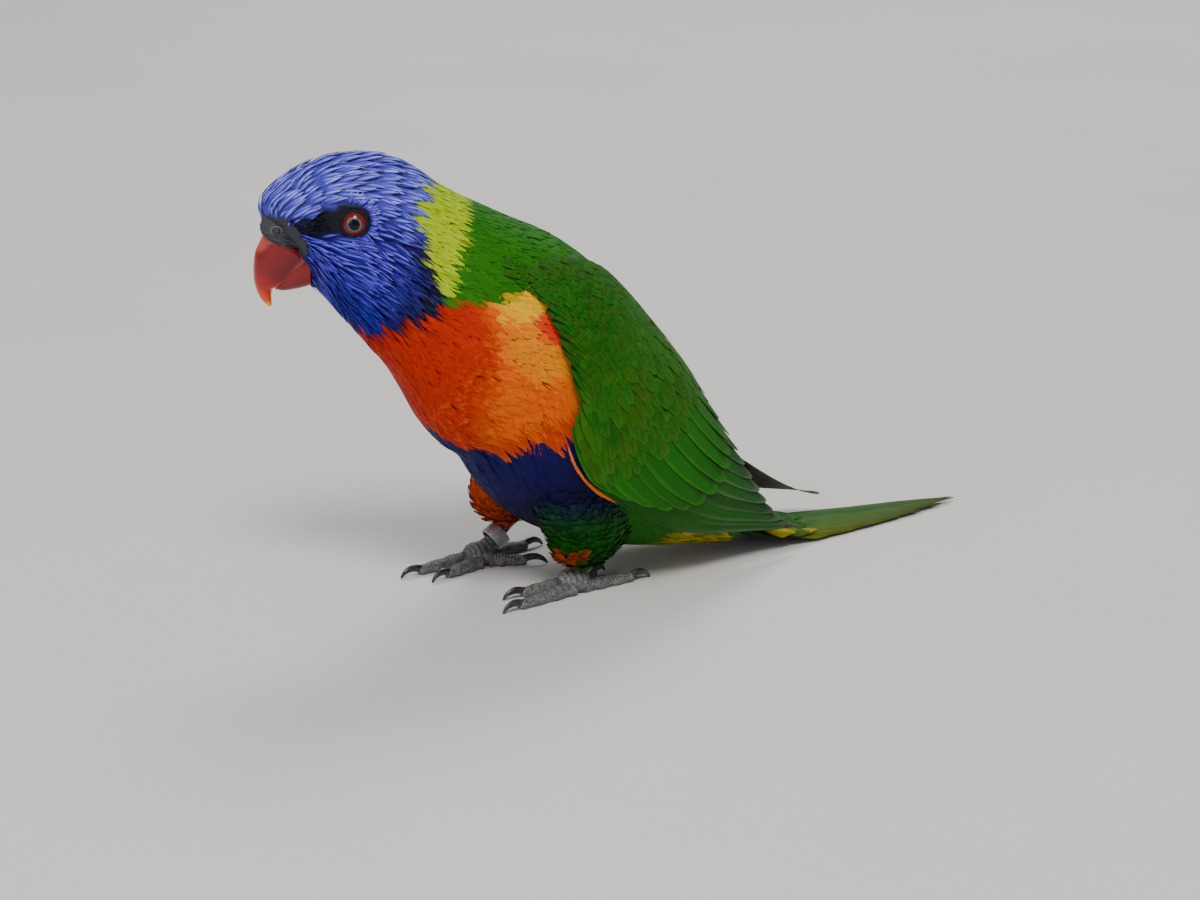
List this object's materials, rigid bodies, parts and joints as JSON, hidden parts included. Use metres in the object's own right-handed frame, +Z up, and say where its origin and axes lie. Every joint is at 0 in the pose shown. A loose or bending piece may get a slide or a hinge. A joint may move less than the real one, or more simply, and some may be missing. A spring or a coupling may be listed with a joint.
{
  "type": "rainbow lorikeet model",
  "caption": "Life-size still model of a rainbow lorikeet standing on its soles, head turned to its right, tail laid on the floor behind it.",
  "frame": {"origin": "centre of the bounding box in X and Y, on the floor under the soles", "axes": "+Z up; the bird faces -X, its left side is towards -Y, its tail points to +X"},
  "size_m": [0.232, 0.0704, 0.1354],
  "materials": {
    "head_feathers": "blue-violet feathers with pale shaft streaks",
    "collar_feathers": "yellow-green nape collar",
    "body_feathers": "orange-red breast, blue belly, green back",
    "wing_feathers": "green coverts, dark grey flight feather tips",
    "tail_feathers": "green above, yellow-olive below",
    "thigh_feathers": "blue-green with orange inside",
    "red_horn": "red bill, orange at the tip, satin",
    "eye": "wet, red iris with a grey ring round a black pupil",
    "scaled_skin": "grey scales",
    "dark_horn": "dark grey claws",
    "plain_ring": "plain, brushed"
  },
  "bodies": {
    "root": {"head": "head_feathers", "bill_upper": "red_horn", "bill_lower": "red_horn", "eye_left": "eye", "eye_right": "eye", "neck": "collar_feathers", "trunk": "body_feathers", "wing_left": "wing_feathers", "wing_right": "wing_feathers", "tail": "tail_feathers", "leg_ring": "plain_ring", "thigh_left": "thigh_feathers", "foot_left": "scaled_skin", "toe_left_inner_front": "scaled_skin", "claw_left_inner_front": "dark_horn", "toe_left_outer_front": "scaled_skin", "claw_left_outer_front": "dark_horn", "toe_left_outer_hind": "scaled_skin", "claw_left_outer_hind": "dark_horn", "toe_left_inner_hind": "scaled_skin", "claw_left_inner_hind": "dark_horn", "thigh_right": "thigh_feathers", "foot_right": "scaled_skin", "toe_right_inner_front": "scaled_skin", "claw_right_inner_front": "dark_horn", "toe_right_outer_front": "scaled_skin", "claw_right_outer_front": "dark_horn", "toe_right_outer_hind": "scaled_skin", "claw_right_outer_hind": "dark_horn", "toe_right_inner_hind": "scaled_skin", "claw_right_inner_hind": "dark_horn"}
  },
  "joints": []
}
